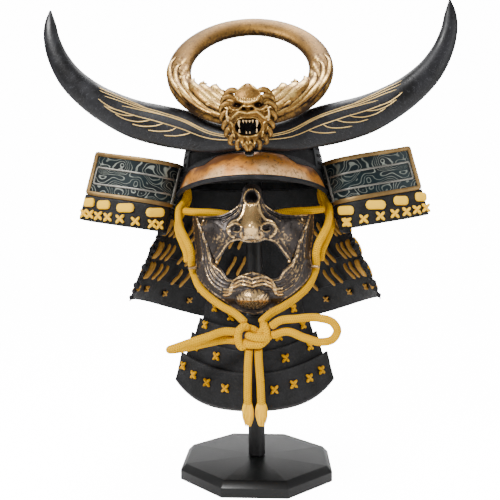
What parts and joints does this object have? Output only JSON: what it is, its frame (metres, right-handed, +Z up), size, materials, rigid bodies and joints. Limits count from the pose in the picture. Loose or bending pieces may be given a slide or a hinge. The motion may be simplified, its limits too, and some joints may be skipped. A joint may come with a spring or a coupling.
{
  "type": "kabuto samurai helmet on a display stand",
  "caption": "Life-size samurai helmet with horned ring crest, dragon head, face mask, throat guard, neck guard and tied chin cord, on an octagonal post stand.",
  "frame": {"origin": "centre of the stand base's underside", "axes": "+Z up; the helmet faces -Y; +X is to the right in the picture"},
  "size_m": [0.5381, 0.3712, 0.674],
  "materials": {
    "black_metal": "satin black",
    "black_leather": "grained black lacquered leather",
    "aged_gold": "aged, speckled gold",
    "aged_copper": "speckled tan copper",
    "horn": "dark scratched lacquer with thin inlaid lines",
    "engraved_plate": "dark teal with engraved silver lines and a gold edge",
    "worn_gunmetal": "gunmetal, worn to gold on the high spots",
    "yellow_cord": "braided silk cord"
  },
  "bodies": {
    "root": {"stand_base": "black_metal", "post": "black_metal", "helmet_rest": "black_metal", "mask_arm": "black_metal", "bowl": "black_metal", "brow_band": "black_leather", "peak": "aged_copper", "peak_rim": "black_leather", "crest_stud": "black_metal", "horn_left": "horn", "horn_right": "horn", "crest_ring": "aged_gold", "dragon_head": "aged_gold", "turned_plate_left": "engraved_plate", "turned_plate_right": "engraved_plate", "turned_strip_left": "black_leather", "turned_strip_right": "black_leather", "mask_upper": "worn_gunmetal", "mask_jaw": "worn_gunmetal", "cord_peg_left": "worn_gunmetal", "cord_peg_right": "worn_gunmetal", "neck_lame_1": "black_leather", "neck_lame_2": "black_leather", "neck_lame_3": "black_leather", "neck_lame_4": "black_leather", "neck_lame_5": "black_leather", "throat_lame_1": "black_leather", "throat_lame_2": "black_leather", "throat_lame_3": "black_leather", "throat_lame_4": "black_leather", "chin_cord_left": "yellow_cord", "chin_cord_right": "yellow_cord", "side_cord_left": "yellow_cord", "side_cord_right": "yellow_cord", "cross_cord": "yellow_cord", "bow_loop_left": "yellow_cord", "bow_loop_right": "yellow_cord", "cord_tail_left": "yellow_cord", "cord_tail_right": "yellow_cord", "bow_knot": "yellow_cord", "tuft_left": "yellow_cord", "tuft_right": "yellow_cord"}
  },
  "joints": []
}
